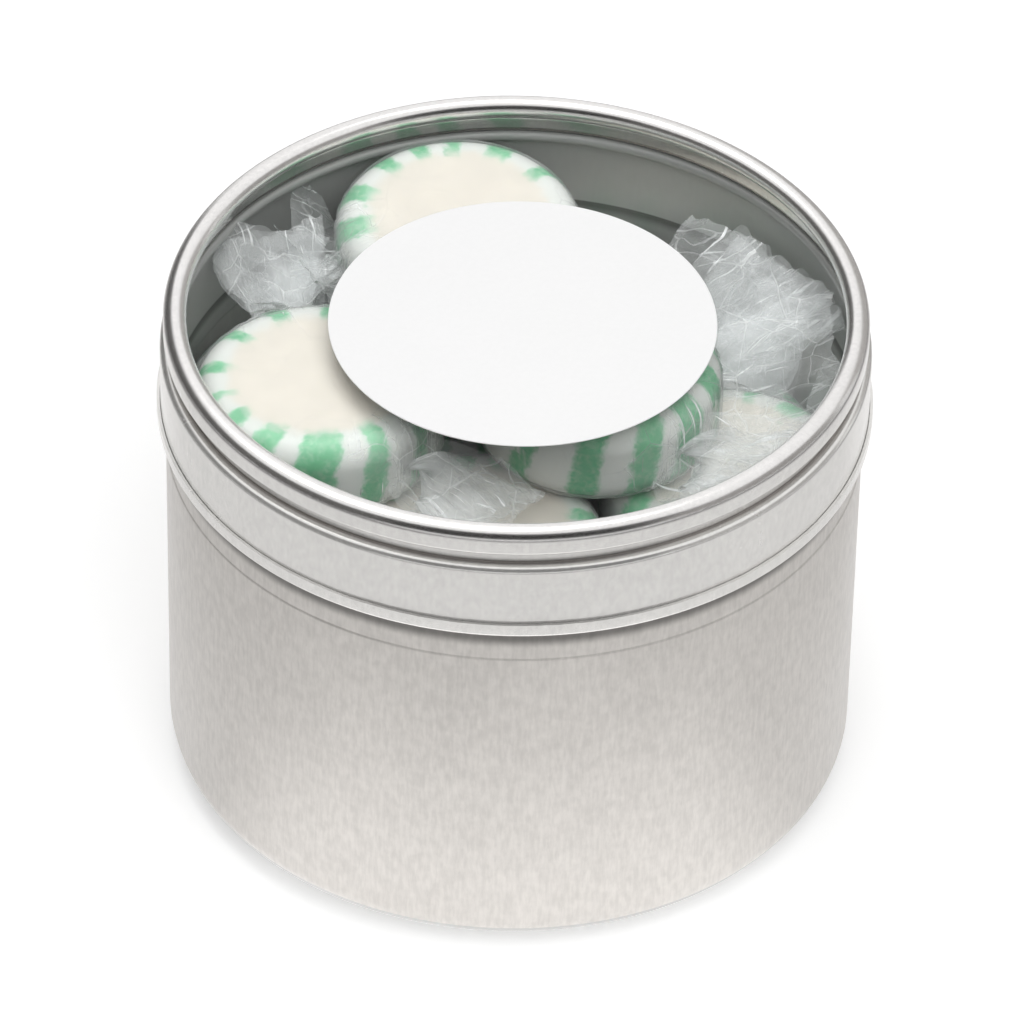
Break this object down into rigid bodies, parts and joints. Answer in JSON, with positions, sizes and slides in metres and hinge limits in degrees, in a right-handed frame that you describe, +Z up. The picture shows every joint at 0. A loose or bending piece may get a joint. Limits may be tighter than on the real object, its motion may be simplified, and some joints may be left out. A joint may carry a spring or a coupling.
{
  "type": "window lid tin",
  "caption": "Round silver slip-lid tin with a clear window and a blank round label in its lid, filled with twist-wrapped green and white mints.",
  "frame": {"origin": "centre of the face that the tin stands on", "axes": "+Z up along the tin's axis, the way the lid lifts off; -Y towards the front of the picture"},
  "size_m": [0.07, 0.07, 0.0529],
  "materials": {
    "tinplate": "satin tinplate with a fine upright grain",
    "lid_tinplate": "satin tinplate, brighter on the rolled rim",
    "clear_window": "clear gloss",
    "label_paper": "smooth white",
    "mint_candy": "boiled sweet, cream white with green stripes round the edge",
    "wrapper_film": "clear crinkled film"
  },
  "bodies": {
    "tin": {"tin_body": "tinplate", "mint_01": "mint_candy", "mint_02": "mint_candy", "mint_03": "mint_candy", "mint_04": "mint_candy", "mint_05": "mint_candy", "mint_06": "mint_candy", "mint_07": "mint_candy", "mint_08": "mint_candy", "mint_09": "mint_candy", "mint_10": "mint_candy", "mint_11": "mint_candy", "mint_12": "mint_candy", "mint_13": "mint_candy", "mint_14": "mint_candy", "mint_15": "mint_candy", "mint_16": "mint_candy", "mint_17": "mint_candy", "mint_18": "mint_candy", "mint_19": "mint_candy", "wrapper_01": "wrapper_film", "wrapper_02": "wrapper_film", "wrapper_03": "wrapper_film", "wrapper_04": "wrapper_film", "wrapper_05": "wrapper_film", "wrapper_06": "wrapper_film", "wrapper_07": "wrapper_film", "wrapper_08": "wrapper_film", "wrapper_09": "wrapper_film", "wrapper_10": "wrapper_film", "wrapper_11": "wrapper_film", "wrapper_12": "wrapper_film", "wrapper_13": "wrapper_film", "wrapper_14": "wrapper_film", "wrapper_15": "wrapper_film", "wrapper_16": "wrapper_film", "wrapper_17": "wrapper_film", "wrapper_18": "wrapper_film", "wrapper_19": "wrapper_film"},
    "lid": {"lid_ring": "lid_tinplate", "window": "clear_window", "label": "label_paper"}
  },
  "joints": [
    {"name": "lid_lift", "type": "slide", "parent": "tin", "child": "lid", "axis": [0, 0, 1], "range_m": [0, 0.06]}
  ]
}
